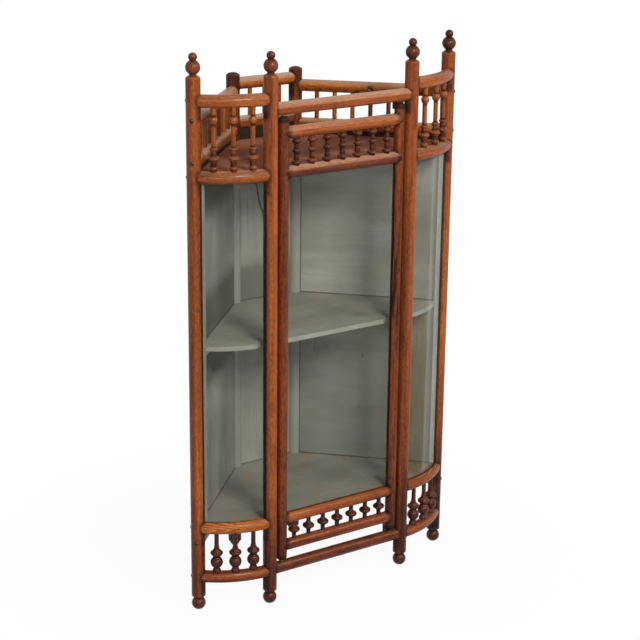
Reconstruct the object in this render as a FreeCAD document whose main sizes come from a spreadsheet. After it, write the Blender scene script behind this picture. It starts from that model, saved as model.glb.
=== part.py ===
import FreeCAD, Part

import os
import re

import Sketcher

# Corner wall cabinet of turned oak rods: a straight front with one glazed door, a curved glass bay on
# each side, two back walls at forty five degrees that meet a narrow flat back, a spindle gallery on top
# and a spindle apron below. Millimetres, +Z up, X across the front, +Y into the corner of the room.
# The origin is under the middle of the cabinet, at the bottom of its feet.

doc = FreeCAD.newDocument("corner_wall_cabinet")
vector = FreeCAD.Vector

# Driving sizes
SIZES = {
    # plan
    "front_half": 167.1,
    "bay_radius": 193.0,
    "bay_turn": 45,
    "back_half": 76.9,
    # posts
    "post_dia": 28.6,
    "shaft_above": 42.7,
    "foot_ball_dia": 28.6,
    "foot_neck_dia": 18.0,
    "foot_neck_length": 2.0,
    "foot_slope": 3.8,
    "shoulder_dia": 24.6,
    "shoulder_rise": 2.6,
    "shoulder_round": 4.0,
    "finial_neck_dia": 14.0,
    "finial_slope": 3.2,
    "finial_neck_length": 1.8,
    "finial_ball_dia": 28.6,
    "finial_waist_dia": 12.0,
    "finial_waist_length": 0.3,
    "finial_top_dia": 17.0,
    "rear_post_above": 23.1,
    "rear_foot_dia": 15.0,
    "rear_foot_slope": 11.0,
    "rear_crown_dia": 12.0,
    "rear_crown_rise": 4.5,
    "rear_crown_round": 16.0,
    # rails
    "rail_dia": 25.4,
    "tenon_dia": 10.0,
    "tenon_gap": 2.5,
    "tenon_root": 6.0,
    # levels of the bays' rails, from the floor up, and how far the other rails and boards lie from them
    "apron_level": 74.0,
    "apron_height": 107.5,
    "case_height": 722.5,
    "gallery_height": 146.5,
    "front_apron_rise": 1.3,
    "front_cornice_drop": 20.8,
    "side_top_drop": 36.3,
    "side_gallery_rise": 29.3,
    "side_foot_drop": 31.0,
    "centre_top_drop": 20.8,
    "centre_gallery_rise": 45.0,
    "centre_foot_drop": 15.7,
    # boards and panels
    "panel_thickness": 8.0,
    "panel_bite": 4.5,
    "board_thickness": 9.5,
    "board_front": 13.2,
    "top_board_rise": 9.0,
    "floor_board_rise": 6.5,
    "shelf_share": 0.5172414,
    "shelf_setback": 12.5,
    "notch_inner": 69.0,
    "notch_outer": 49.0,
    "notch_apex": 15.0,
    "notch_depth": 32.0,
    "cleat_width": 10.0,
    "cleat_height": 14.5,
    "cleat_end": 26.0,
    # curved glass and its grooves
    "glass_thickness": 3.0,
    "glass_bite": 4.5,
    "glazing_groove": 5.0,
    # strips inside the outer ends of the curved glass
    "strip_width": 4.5,
    "strip_lap": 5.0,
    "strip_depth": 8.5,
    "strip_gap": 0.3,
    # spindles and dowels
    "spindle_tenon": 7.0,
    "spindle_seat": 1.5,
    "spindle_tenon_dia": 6.5,
    "dowel_dia": 9.5,
    "dowel_margin": 46.3,
    "centre_dowel_margin": 41.1,
    # door
    "stile_dia": 22.2,
    "stile_side_gap": 3.1,
    "stile_foot_gap": 2.3,
    "stile_top_gap": 2.5,
    "stile_end_dia": 9.6,
    "stile_end_rise": 6.2,
    "stile_end_round": 9.0,
    "door_rail_dia": 24.0,
    "door_top_drop": 47.5,
    "door_frieze_rise": 0.6,
    "door_sill_drop": 0.1,
    "door_bottom_rise": 46.0,
    "door_spindle_margin": 19.5,
    # pivots and stops
    "pin_dia": 4.0,
    "pin_depth": 14.0,
    "pin_reach": 10.5,
    "bush_dia": 8.0,
    "bush_wall_gap": 0.05,
    "bush_stand": 1.0,
    "washer_dia": 10.0,
    "axial_gap": 0.3,
    "stop_width": 12.6,
    "stop_front": 5.0,
    "stop_lip": 5.0,
    "stop_drop": 14.0,
    "stop_gap": 0.5,
    # post screws
    "screw_dia": 4.2,
    "screw_head_dia": 8.8,
    "screw_head_rise": 2.4,
    "screw_bite": 16.0,
    # wall screw bores
    "wall_bore_dia": 5.5,
    "wall_sink_dia": 10.0,
    "wall_sink_depth": 3.0,
    # a cut runs past the face that it opens by this much
    "overrun": 2.0,
}

# Turned outlines, each a list of (radius, height) in millimetres above the lower rail's surface, with a
# third number where the stretch up to that point is an arc of that radius. They are cells too.
APRON_TURNING = [(9.0, 0.0), (9.0, 1.6), (6.6, 7.0), (6.6, 9.6), (7.4, 30.4, 12.2), (6.7, 31.4),
                 (10.0, 36.6), (10.0, 44.4, 4.1), (6.6, 48.4), (5.4, 52.0), (4.6, 58.0)]
GALLERY_TURNING = [(6.4, 0.0), (6.4, 2.6), (6.4, 9.4, 4.2), (5.9, 11.0), (6.0, 15.5), (7.2, 19.6),
                   (8.8, 21.6), (8.8, 27.2, 3.0), (6.3, 30.2), (5.3, 36.5), (6.2, 40.3), (6.2, 45.2, 2.5),
                   (4.7, 47.2), (4.5, 68.4), (4.7, 89.8), (4.7, 104.6, 9.4), (5.0, 106.4), (5.3, 119.5)]
FRIEZE_TURNING = [(5.6, 0.0), (5.6, 1.6), (8.0, 2.6), (8.0, 9.0, 3.3), (5.4, 11.0), (4.9, 22.8), (5.6, 23.9),
                  (5.6, 32.5, 4.9), (4.9, 33.8), (4.7, 41.8), (7.2, 43.6), (7.2, 51.2, 4.4)]
BEAD_TURNING = [(4.7, 0.0), (4.5, 8.2), (6.0, 11.4), (9.2, 14.0), (9.2, 22.1, 4.2), (6.0, 24.7), (4.5, 27.9),
                (4.7, 34.6)]
TURNINGS = {"apron": APRON_TURNING, "gallery": GALLERY_TURNING, "frieze": FRIEZE_TURNING,
            "bead": BEAD_TURNING}
PART_NAMES = ("radius", "height", "round")
LETTERS = "abcdefghijklmnopqr"

for kind, outline in TURNINGS.items():
    for letter, point in zip(LETTERS, outline):
        for part_name, value in zip(PART_NAMES, point):
            SIZES["_".join((kind, part_name, letter + "th"))] = value

sheet = doc.addObject("Spreadsheet::Sheet", "Sizes")
for row, (name, value) in enumerate(SIZES.items(), 1):
    sheet.set("A%d" % row, name)
    sheet.set("B%d" % row, str(value))
    sheet.setAlias("B%d" % row, name)
doc.recompute()

# Places that follow from the driving sizes. The front line holds the axes of the two inner front posts.
BACK_Y = "(bay_radius + (front_half - back_half)/tan(bay_turn))"
FRONT = "(-0.5*" + BACK_Y + ")"
REAR = "(0.5*" + BACK_Y + ")"
OUTER_X = "(front_half + bay_radius*sin(bay_turn))"
OUTER_Y = "(" + FRONT + " + bay_radius*(1 - cos(bay_turn)))"
CENTRE_Y = "(" + FRONT + " + bay_radius)"
WALL_LENGTH = "((" + OUTER_X + " - back_half)/sin(bay_turn))"
SIDES = {"left": "-1", "right": "1"}

# Levels of the rails' axes and of the boards' upper faces, from the floor
BAY_APRON_Z = "apron_level"
BAY_SILL_Z = "(apron_level + apron_height)"
BAY_GALLERY_Z = "(apron_level + apron_height + case_height)"
BAY_CORNICE_Z = "(apron_level + apron_height + case_height + gallery_height)"
FRONT_APRON_Z = "(" + BAY_APRON_Z + " + front_apron_rise)"
FRONT_CORNICE_Z = "(" + BAY_CORNICE_Z + " - front_cornice_drop)"
SIDE_TOP_Z = "(" + BAY_CORNICE_Z + " - side_top_drop)"
SIDE_GALLERY_Z = "(" + BAY_GALLERY_Z + " + side_gallery_rise)"
SIDE_FOOT_Z = "(" + BAY_SILL_Z + " - side_foot_drop)"
CENTRE_TOP_Z = "(" + BAY_CORNICE_Z + " - centre_top_drop)"
CENTRE_GALLERY_Z = "(" + BAY_GALLERY_Z + " + centre_gallery_rise)"
CENTRE_FOOT_Z = "(" + BAY_SILL_Z + " - centre_foot_drop)"
TOP_BOARD_Z = "(" + BAY_GALLERY_Z + " + top_board_rise)"
FLOOR_BOARD_Z = "(" + BAY_SILL_Z + " + floor_board_rise)"
SHELF_Z = "(" + FLOOR_BOARD_Z + " + shelf_share*(" + TOP_BOARD_Z + " - " + FLOOR_BOARD_Z + "))"
DOOR_TOP_Z = "(" + FRONT_CORNICE_Z + " - door_top_drop)"
DOOR_FRIEZE_Z = "(" + BAY_GALLERY_Z + " + door_frieze_rise)"
DOOR_SILL_Z = "(" + BAY_SILL_Z + " - door_sill_drop)"
DOOR_BOTTOM_Z = "(" + FRONT_APRON_Z + " + door_bottom_rise)"
SHAFT_TOP = "(" + BAY_CORNICE_Z + " + shaft_above)"
REAR_POST_TOP = "(" + CENTRE_TOP_Z + " + rear_post_above)"
STILE_FOOT = "(" + FRONT_APRON_Z + " + 0.5*rail_dia + stile_foot_gap)"
STILE_TOP = "(" + FRONT_CORNICE_Z + " - 0.5*rail_dia - stile_top_gap)"
STILE_LENGTH = "(" + STILE_TOP + " - " + STILE_FOOT + ")"
DOOR_HALF = "(front_half - 0.5*post_dia - 0.5*stile_dia - stile_side_gap)"


def sized(expression):
    """Writes each size's name in an expression as a reference to its cell."""
    return re.sub(r"[a-z][a-z_]*", lambda found: "Sizes." + found.group(0) if found.group(0) in SIZES
                  else found.group(0), str(expression))


def bind(item, **expressions):
    for name, expression in expressions.items():
        item.setExpression(name, sized(expression))
    return item


def place(item, x=0, y=0, z=0, turn=None):
    """Binds an item's place, and its turn about the vertical."""
    if turn is not None:
        item.Placement = FreeCAD.Placement(vector(), FreeCAD.Rotation(vector(0, 0, 1), 1))
        item.setExpression("Placement.Rotation.Angle", sized(turn))
    for axis, value in zip("xyz", (x, y, z)):
        item.setExpression("Placement.Base." + axis, sized(value))
    return item


def aim(item, azimuth):
    """Lays an item's own Z axis level, pointing along an azimuth counted from +X towards +Y."""
    item.Placement = FreeCAD.Placement(vector(), FreeCAD.Rotation(vector(0, 1, 0), 90))
    item.setExpression("Placement.Rotation.Axis.x", sized("-sin(%s)" % azimuth))
    item.setExpression("Placement.Rotation.Axis.y", sized("cos(%s)" % azimuth))
    return item


def block(name, size, corner, turn=None):
    item = doc.addObject("Part::Box", name)
    return place(bind(item, Length=size[0], Width=size[1], Height=size[2]), *corner, turn=turn)


def upright(name, dia, height, foot):
    item = doc.addObject("Part::Cylinder", name)
    return place(bind(item, Radius="0.5*" + dia, Height=height), *foot)


def level(name, dia, length, start, azimuth):
    item = doc.addObject("Part::Cylinder", name)
    bind(item, Radius="0.5*" + dia, Height=length)
    return place(aim(item, azimuth), *start)


def cut(name, base, tools):
    tool = doc.addObject("Part::Compound", name + "_tools")
    tool.Links = tools
    item = doc.addObject("Part::Cut", name)
    item.Base, item.Tool = base, tool
    return item


def fuse(name, shapes):
    item = doc.addObject("Part::MultiFuse", name)
    item.Shapes = shapes
    return item


def group(name, shapes):
    item = doc.addObject("Part::Compound", name)
    item.Links = shapes
    return item


nodes = {}


def node(name, item):
    """Keeps an item as one of the cabinet's pieces, under its own name."""
    item.Label = name
    nodes[name] = item
    return item


probe = doc.addObject("App::FeaturePython", "Probe")
probe.addProperty("App::PropertyFloat", "Reading")


def reading(expression):
    """The present value of an expression, for the first draft of a sketch."""
    probe.setExpression("Reading", sized(expression))
    probe.recompute()
    return probe.Reading


def plane_of(body, role):
    return [feature for feature in body.Origin.OriginFeatures if feature.Role == role][0]


def turned(name, outline, offset="0"):
    """A body turned about the vertical line that stands at offset from its own Z axis.

    The outline climbs from the foot to the top, and each of its points is (radius, height) or, after an
    arc, (radius, height, round), all as expressions.
    """
    body = doc.addObject("PartDesign::Body", name + "_body")
    body.AllowCompound = True
    sketch = body.newObject("Sketcher::SketchObject", name + "_outline")
    sketch.AttachmentSupport = [(plane_of(body, "XZ_Plane"), "")]
    sketch.MapMode = "FlatFace"
    sketch.setExpression("AttachmentOffset.Base.x", sized(offset))
    if outline[0][0] != "0":
        outline = [("0", outline[0][1])] + outline
    if outline[-1][0] != "0":
        outline = outline + [("0", outline[-1][1])]
    spots = [vector(reading(point[0]), reading(point[1]), 0) for point in outline]
    edges = []
    for start, end, point in zip(spots, spots[1:], outline[1:]):
        if len(point) == 3:
            edges.append(sketch.addGeometry(outward_arc(start, end, reading(point[2])), False))
            bound = sketch.addConstraint(Sketcher.Constraint("Radius", edges[-1], reading(point[2])))
            sketch.setExpression("Constraints[%d]" % bound, sized(point[2]))
        else:
            edges.append(sketch.addGeometry(Part.LineSegment(start, end), False))
    edges.append(sketch.addGeometry(Part.LineSegment(spots[-1], spots[0]), False))
    for before, after in zip(edges, edges[1:] + edges[:1]):
        sketch.addConstraint(Sketcher.Constraint("Coincident", before, 2, after, 1))
    for edge, spot, point in zip(edges, spots, outline):
        if point[0] == "0":
            sketch.addConstraint(Sketcher.Constraint("PointOnObject", edge, 1, -2))
        else:
            bound = sketch.addConstraint(Sketcher.Constraint("DistanceX", -1, 1, edge, 1, spot.x))
            sketch.setExpression("Constraints[%d]" % bound, sized(point[0]))
        if point[1] == "0":
            sketch.addConstraint(Sketcher.Constraint("PointOnObject", edge, 1, -1))
        else:
            bound = sketch.addConstraint(Sketcher.Constraint("DistanceY", -1, 1, edge, 1, spot.y))
            sketch.setExpression("Constraints[%d]" % bound, sized(point[1]))
    turning = body.newObject("PartDesign::Revolution", name + "_turning")
    turning.Profile = sketch
    turning.ReferenceAxis = (sketch, ["V_Axis"])
    turning.Angle = 360
    body.Tip = turning
    return body


def outward_arc(start, end, radius):
    """The arc from start to end that swells away from the turning axis."""
    middle = (start + end)*0.5
    along = end - start
    half = along.Length/2
    out = vector(along.y, -along.x, 0).normalize()
    depth = radius - (radius**2 - half**2)**0.5
    return Part.Arc(start, middle + out*depth, end)


def ring_pattern(body, start, sweep, count):
    """Repeats a body's turning about the body's own Z axis."""
    pattern = body.newObject("PartDesign::PolarPattern", body.Name + "_ring")
    pattern.Originals = [body.Tip]
    pattern.Axis = (plane_of(body, "Z_Axis"), [""])
    pattern.Occurrences = count
    pattern.setExpression("Angle", sized(sweep))
    body.Tip = pattern
    body.Placement = FreeCAD.Placement(vector(), FreeCAD.Rotation(vector(0, 0, 1), 1))
    body.setExpression("Placement.Rotation.Angle", sized(start))
    return body


def row_pattern(body, length, count):
    """Repeats a body's turning along the body's own X axis."""
    pattern = body.newObject("PartDesign::LinearPattern", body.Name + "_row")
    pattern.Originals = [body.Tip]
    pattern.Direction = (plane_of(body, "X_Axis"), [""])
    pattern.Occurrences = count
    pattern.setExpression("Length", sized(length))
    body.Tip = pattern
    return body


def spindle_outline(kind, gap):
    """A spindle's outline with its tenons, between two rails whose surfaces are gap apart."""
    points = []
    for letter, point in zip(LETTERS, TURNINGS[kind]):
        names = ["_".join((kind, part_name, letter + "th")) for part_name in PART_NAMES[:len(point)]]
        names[1] = "spindle_tenon + " + names[1]
        points.append(tuple(names))
    seat = "spindle_tenon - spindle_seat"
    head = "spindle_tenon + spindle_seat + " + gap
    foot = [("0.5*spindle_tenon_dia", "0"), ("0.5*spindle_tenon_dia", seat), (points[0][0], seat)]
    crown = [(points[-1][0], head), ("0.5*spindle_tenon_dia", head),
             ("0.5*spindle_tenon_dia", "2*spindle_tenon + " + gap)]
    return foot + points[1:] + crown


# Posts

def blank(name, x, y, height=None):
    """A post's plain cylinder, which the rails and boards are coped to."""
    return upright(name, "post_dia", height or SHAFT_TOP, (x, y, "0"))


def front_post_outline():
    foot_top = "(0.5*foot_ball_dia + 0.5*sqrt(foot_ball_dia^2 - foot_neck_dia^2))"
    shaft_foot = "(" + foot_top + " + foot_neck_length + foot_slope)"
    shoulder = "(" + SHAFT_TOP + " + shoulder_rise)"
    neck_foot = "(" + shoulder + " + finial_slope)"
    neck_top = "(" + neck_foot + " + finial_neck_length)"
    ball = "(" + neck_top + " + 0.5*sqrt(finial_ball_dia^2 - finial_neck_dia^2))"
    waist = "(" + ball + " + 0.5*sqrt(finial_ball_dia^2 - finial_waist_dia^2))"
    tip_foot = "(" + waist + " + finial_waist_length)"
    tip = "(" + tip_foot + " + 0.5*sqrt(finial_top_dia^2 - finial_waist_dia^2) + 0.5*finial_top_dia)"
    return [("0", "0"), ("0.5*foot_neck_dia", foot_top, "0.5*foot_ball_dia"),
            ("0.5*foot_neck_dia", foot_top + " + foot_neck_length"),
            ("0.5*post_dia", shaft_foot), ("0.5*post_dia", SHAFT_TOP),
            ("0.5*shoulder_dia", shoulder, "shoulder_round"),
            ("0.5*finial_neck_dia", neck_foot), ("0.5*finial_neck_dia", neck_top),
            ("0.5*finial_waist_dia", waist, "0.5*finial_ball_dia"), ("0.5*finial_waist_dia", tip_foot),
            ("0", tip, "0.5*finial_top_dia")]


def rear_post_outline():
    crown = "(" + REAR_POST_TOP + " - rear_crown_rise)"
    return [("0.5*rear_foot_dia", "0"), ("0.5*post_dia", "rear_foot_slope"), ("0.5*post_dia", crown),
            ("0.5*rear_crown_dia", REAR_POST_TOP, "rear_crown_round")]


POSTS = {}
for side, sign in SIDES.items():
    POSTS[side + "_outer_post"] = (sign + "*" + OUTER_X, OUTER_Y)
    POSTS[side + "_inner_post"] = (sign + "*front_half", FRONT)
    POSTS[side + "_rear_post"] = (sign + "*back_half", REAR)

blanks = {name: blank(name + "_blank", *spot) for name, spot in POSTS.items()}
every_blank = list(blanks.values())


# Back walls. A wall's own azimuth runs from its outer post to its rear post.

WALL_AZIMUTH = {"left": "(90 - bay_turn)", "right": "(90 + bay_turn)"}
INWARD = {"left": "(0 - bay_turn)", "right": "(180 + bay_turn)"}


def on_wall(side, along, inward="0"):
    """The plan point that lies along a side wall from its outer post, and inward from its axis plane."""
    sign = SIDES[side]
    x = "%s*(%s - (%s)*sin(bay_turn) - (%s)*cos(bay_turn))" % (sign, OUTER_X, along, inward)
    y = "(%s + (%s)*cos(bay_turn) - (%s)*sin(bay_turn))" % (OUTER_Y, along, inward)
    return x, y


def side_slab(name, side, along, inward, size, z):
    """A box on a side wall: it starts at along and inward, and grows along the wall and outward."""
    length, thickness, height = size
    if side == "left":
        corner = on_wall(side, along, inward)
        return block(name, (length, thickness, height), (*corner, z), turn=WALL_AZIMUTH[side])
    corner = on_wall(side, "(%s) + (%s)" % (along, length), inward)
    return block(name, (length, thickness, height), (*corner, z), turn="bay_turn - 90")


PANEL_START = "(0.5*post_dia - panel_bite)"
panels = {}
for side in SIDES:
    low = "(" + SIDE_FOOT_Z + " + 0.5*rail_dia - panel_bite)"
    high = "(" + SIDE_GALLERY_Z + " - 0.5*rail_dia + panel_bite)"
    panels[side] = side_slab(side + "_panel", side, PANEL_START, "0.5*panel_thickness",
                             ("%s - 2*%s" % (WALL_LENGTH, PANEL_START), "panel_thickness",
                              high + " - " + low), low)
low = "(" + CENTRE_FOOT_Z + " + 0.5*rail_dia - panel_bite)"
high = "(" + CENTRE_GALLERY_Z + " - 0.5*rail_dia + panel_bite)"
half = "(back_half - %s)" % PANEL_START
panels["centre"] = block("centre_panel", ("2*" + half, "panel_thickness", high + " - " + low),
                         ("-" + half, REAR + " - 0.5*panel_thickness", low))
for side, panel in panels.items():
    node(side + "_back_panel", panel)


# Dowels of the back gallery

def dowel_row(side):
    """Plain dowels between the two upper rails of one back wall, spaced about its middle."""
    if side == "centre":
        low, high, count = CENTRE_GALLERY_Z, CENTRE_TOP_Z, 3
        pitch = "(2*back_half - 2*centre_dowel_margin)/2"
    else:
        low, high, count = SIDE_GALLERY_Z, SIDE_TOP_Z, 7
        pitch = "(" + WALL_LENGTH + " - 2*dowel_margin)/6"
    foot = "(%s + 0.5*rail_dia - spindle_tenon)" % low
    height = "%s - 0.5*rail_dia + spindle_tenon - %s" % (high, foot)
    rods = []
    for index in range(count):
        shift = "(%g*%s)" % (index - (count - 1)/2, pitch)
        if side == "centre":
            spot = (shift, REAR)
        else:
            spot = on_wall(side, "0.5*%s + %s" % (WALL_LENGTH, shift))
        rods.append(upright("%s_dowel_%d" % (side, index + 1), "dowel_dia", height, (*spot, foot)))
    return node(side + "_back_dowels", group(side + "_dowels", rods))


dowels = {side: dowel_row(side) for side in ("left", "centre", "right")}


# Screws through the outer posts

SEAT = "(0.5*sqrt(post_dia^2 - screw_head_dia^2))"
HEAD_BALL = "((screw_head_dia^2/4 + screw_head_rise^2)/(2*screw_head_rise))"


def post_screw(name, side, azimuth, z):
    """A round head screw that enters an outer post at one azimuth and runs on into the rail behind it."""
    x, y = POSTS[side + "_outer_post"]
    out_x = "(%s - %s*cos(%s))" % (x, SEAT, azimuth)
    out_y = "(%s - %s*sin(%s))" % (y, SEAT, azimuth)
    shank = level(name + "_shank", "screw_dia", SEAT + " + 0.5*post_dia + screw_bite", (out_x, out_y, z),
                  azimuth)
    head = doc.addObject("Part::Sphere", name + "_head")
    bind(head, Radius=HEAD_BALL, Angle1="asin(1 - screw_head_rise/%s)" % HEAD_BALL)
    head.Placement = FreeCAD.Placement(vector(), FreeCAD.Rotation(vector(0, 1, 0), -90))
    head.setExpression("Placement.Rotation.Axis.x", sized("-sin(%s)" % azimuth))
    head.setExpression("Placement.Rotation.Axis.y", sized("cos(%s)" % azimuth))
    back = "(%s - screw_head_rise)" % HEAD_BALL
    place(head, "%s + %s*cos(%s)" % (out_x, back, azimuth), "%s + %s*sin(%s)" % (out_y, back, azimuth), z)
    seat = level(name + "_seat", "screw_head_dia", "0.5*post_dia - " + SEAT + " + overrun",
                 ("%s - 0.5*post_dia*cos(%s) - overrun*cos(%s)" % (x, azimuth, azimuth),
                  "%s - 0.5*post_dia*sin(%s) - overrun*sin(%s)" % (y, azimuth, azimuth), z), azimuth)
    return fuse(name, [shank, head]), shank, seat


TANGENT = {"left": "(0 - bay_turn)", "right": "(180 + bay_turn)"}
screw_shanks = {}
screw_seats = {}
for side in SIDES:
    screws = []
    screw_shanks[side] = []
    screw_seats[side] = []
    places = {"cornice": (BAY_CORNICE_Z, TANGENT), "gallery": (BAY_GALLERY_Z, TANGENT),
              "sill": (BAY_SILL_Z, TANGENT), "apron": (BAY_APRON_Z, TANGENT),
              "wall_top": (SIDE_TOP_Z, WALL_AZIMUTH), "wall_gallery": (SIDE_GALLERY_Z, WALL_AZIMUTH),
              "wall_foot": (SIDE_FOOT_Z, WALL_AZIMUTH)}
    for part, (z, azimuths) in places.items():
        screw, shank, seat = post_screw("%s_%s_screw" % (side, part), side, azimuths[side], z)
        screws.append(screw)
        screw_shanks[side].append(shank)
        screw_seats[side].append(seat)
    node(side + "_post_screws", group(side + "_screws", screws))


# Curved glass

def bay_sector(name, side, radius, height, z, margin="0", outer_margin=None):
    """A slice of a disc about a bay's centre, from its inner post to its outer post, less a margin at each end."""
    item = doc.addObject("Part::Cylinder", name)
    outer_margin = outer_margin or margin
    bind(item, Radius=radius, Height=height, Angle="bay_turn - (%s) - (%s)" % (margin, outer_margin))
    start = "(-90 - bay_turn + %s)" % outer_margin if side == "left" else "(-90 + %s)" % margin
    return place(item, SIDES[side] + "*front_half", CENTRE_Y, z, turn=start)


GLASS_MARGIN = "(asin((0.5*post_dia - glass_bite)/bay_radius)/1deg)"
GLASS_LOW = "(" + BAY_SILL_Z + " + 0.5*rail_dia - glass_bite)"
GLASS_HIGH = "(" + BAY_GALLERY_Z + " - 0.5*rail_dia + glass_bite)"


def bay_pane(name, side, thickness, lead):
    """A curved sheet of one thickness, whose inner face lies half a glass inside the bay's arc."""
    height = GLASS_HIGH + " - " + GLASS_LOW
    inner_radius = "bay_radius - 0.5*glass_thickness"
    outer = bay_sector(name + "_outer", side, inner_radius + " + " + thickness, height, GLASS_LOW,
                       GLASS_MARGIN)
    inner = bay_sector(name + "_inner", side, inner_radius, height + " + 2*overrun", GLASS_LOW + " - overrun",
                       GLASS_MARGIN + " - " + lead)
    return cut(name, outer, [inner])


LEAD = "(asin(overrun/bay_radius)/1deg)"
panes = {side: node(side + "_curved_glass", bay_pane(side + "_pane", side, "glass_thickness", LEAD))
         for side in SIDES}
pane_grooves = {side: bay_pane(side + "_pane_groove", side, "glazing_groove", LEAD) for side in SIDES}

STRIP_START = "(asin((0.5*post_dia - strip_lap)/bay_radius)/1deg)"
STRIP_END = "(asin((0.5*post_dia + strip_width)/bay_radius)/1deg)"


def glazing_strip(side):
    """An upright strip just inside a curved glass, against the outer post, between the bay's rails."""
    name = side + "_strip"
    rim = "bay_radius - 0.5*glass_thickness - strip_gap"
    low = "(" + BAY_SILL_Z + " + 0.5*rail_dia)"
    height = "%s - 0.5*rail_dia - %s" % (BAY_GALLERY_Z, low)
    ring = bay_sector(name + "_ring", side, rim, height, low, "0.5*bay_turn", STRIP_START)
    past = (height + " + 2*overrun", low + " - overrun")
    bore = bay_sector(name + "_bore", side, rim + " - strip_depth", *past, "0 - " + LEAD)
    middle = bay_sector(name + "_middle", side, rim + " + overrun", *past, "0", STRIP_END)
    return node(side + "_glazing_strip", cut(name, ring, [bore, middle] + every_blank))


strips = {side: glazing_strip(side) for side in SIDES}


# Bay spindles

def bay_spindles(side, kind, low, high):
    gap = "(%s - %s - rail_dia)" % (high, low)
    body = turned("%s_%s" % (side, kind), spindle_outline(kind, gap), offset="bay_radius")
    start = "(-90 - 0.75*bay_turn)" if side == "left" else "(-90 + 0.25*bay_turn)"
    ring_pattern(body, start, "0.5*bay_turn", 3)
    foot = (SIDES[side] + "*front_half", CENTRE_Y, low + " + 0.5*rail_dia - spindle_tenon")
    for axis, value in zip("xyz", foot):
        body.setExpression("Placement.Base." + axis, sized(value))
    return node("%s_%s_spindles" % (side, kind), body)


gallery_spindles = {side: bay_spindles(side, "gallery", BAY_GALLERY_Z, BAY_CORNICE_Z) for side in SIDES}
apron_spindles = {side: bay_spindles(side, "apron", BAY_APRON_Z, BAY_SILL_Z) for side in SIDES}


# Rails. Each is coped to the posts, and has a round tenon in the posts that it isn't screwed to.

TENON_REACH = "(0.5*post_dia - tenon_gap + tenon_root)"
post_tenons = {name: [] for name in POSTS}


def tenon(name, post, azimuth, z):
    """A rail's tenon in a post, which leaves the post at the azimuth of the rail."""
    x, y = POSTS[post]
    item = level(name, "tenon_dia", TENON_REACH, ("%s + tenon_gap*cos(%s)" % (x, azimuth),
                                                  "%s + tenon_gap*sin(%s)" % (y, azimuth), z), azimuth)
    post_tenons[post].append(item)
    return item


def bay_rail(name, side, z, tools):
    arc = doc.addObject("Part::Torus", name + "_arc")
    bind(arc, Radius1="bay_radius", Radius2="0.5*rail_dia", Angle3="bay_turn")
    start = "(-90 - bay_turn)" if side == "left" else "-90"
    place(arc, SIDES[side] + "*front_half", CENTRE_Y, z, turn=start)
    coped = cut(name + "_coped", arc, every_blank + screw_shanks[side] + tools)
    joint = tenon(name + "_tenon", side + "_inner_post", "180" if side == "left" else "0", z)
    return node(name, fuse(name + "_rail", [coped, joint]))


bay_rails = {}
for side in SIDES:
    bay_rails[side] = [
        bay_rail(side + "_bay_cornice_rail", side, BAY_CORNICE_Z, [gallery_spindles[side]]),
        bay_rail(side + "_bay_gallery_rail", side, BAY_GALLERY_Z,
                 [gallery_spindles[side], pane_grooves[side]]),
        bay_rail(side + "_bay_sill_rail", side, BAY_SILL_Z, [apron_spindles[side], pane_grooves[side]]),
        bay_rail(side + "_bay_apron_rail", side, BAY_APRON_Z, [apron_spindles[side]]),
    ]


def side_rail(name, side, z, tools):
    rod = level(name + "_rod", "rail_dia", WALL_LENGTH, (*POSTS[side + "_outer_post"], z),
                WALL_AZIMUTH[side])
    coped = cut(name + "_coped", rod, every_blank + screw_shanks[side] + tools)
    joint = tenon(name + "_tenon", side + "_rear_post", "(180 + %s)" % WALL_AZIMUTH[side], z)
    return node(name, fuse(name + "_rail", [coped, joint]))


def wall_bore(side):
    """A countersunk bore for a wall screw, square to the wall, through the middle of the top rail."""
    name = side + "_wall_bore"
    half = "0.5*rail_dia"
    outward = "(180 + %s)" % INWARD[side]
    x, y = on_wall(side, "0.5*" + WALL_LENGTH, half + " + overrun")
    bore = level(name, "wall_bore_dia", "rail_dia + 2*overrun", (x, y, SIDE_TOP_Z), outward)
    sink = doc.addObject("Part::Cone", name + "_sink")
    slope = "(wall_sink_dia - wall_bore_dia)/wall_sink_depth"
    bind(sink, Radius1="0.5*(wall_sink_dia + overrun*%s)" % slope, Radius2="0.5*wall_bore_dia",
         Height="wall_sink_depth + overrun")
    place(aim(sink, outward), x, y, SIDE_TOP_Z)
    return fuse(name + "_tool", [bore, sink])


for side in SIDES:
    side_rail(side + "_back_top_rail", side, SIDE_TOP_Z, [dowels[side], wall_bore(side)])
    side_rail(side + "_back_gallery_rail", side, SIDE_GALLERY_Z, [dowels[side], panels[side]])
    side_rail(side + "_back_foot_rail", side, SIDE_FOOT_Z, [panels[side]])


def cross_rail(name, posts, z, tools, half, y):
    """A straight rail between a left and a right post, with a tenon at each end."""
    rod = level(name + "_rod", "rail_dia", "2*" + half, ("-" + half, y, z), "0")
    coped = cut(name + "_coped", rod, every_blank + tools)
    joints = [tenon(name + "_tenon_left", "left_" + posts, "0", z),
              tenon(name + "_tenon_right", "right_" + posts, "180", z)]
    return node(name, fuse(name + "_rail", [coped] + joints))


cross_rail("centre_back_top_rail", "rear_post", CENTRE_TOP_Z, [dowels["centre"]], "back_half", REAR)
cross_rail("centre_back_gallery_rail", "rear_post", CENTRE_GALLERY_Z, [dowels["centre"], panels["centre"]],
           "back_half", REAR)
cross_rail("centre_back_foot_rail", "rear_post", CENTRE_FOOT_Z, [panels["centre"]], "back_half", REAR)


# Door pivots. The pins are fixed in the hinge stile and turn in bushes that the front rails hold.

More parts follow.
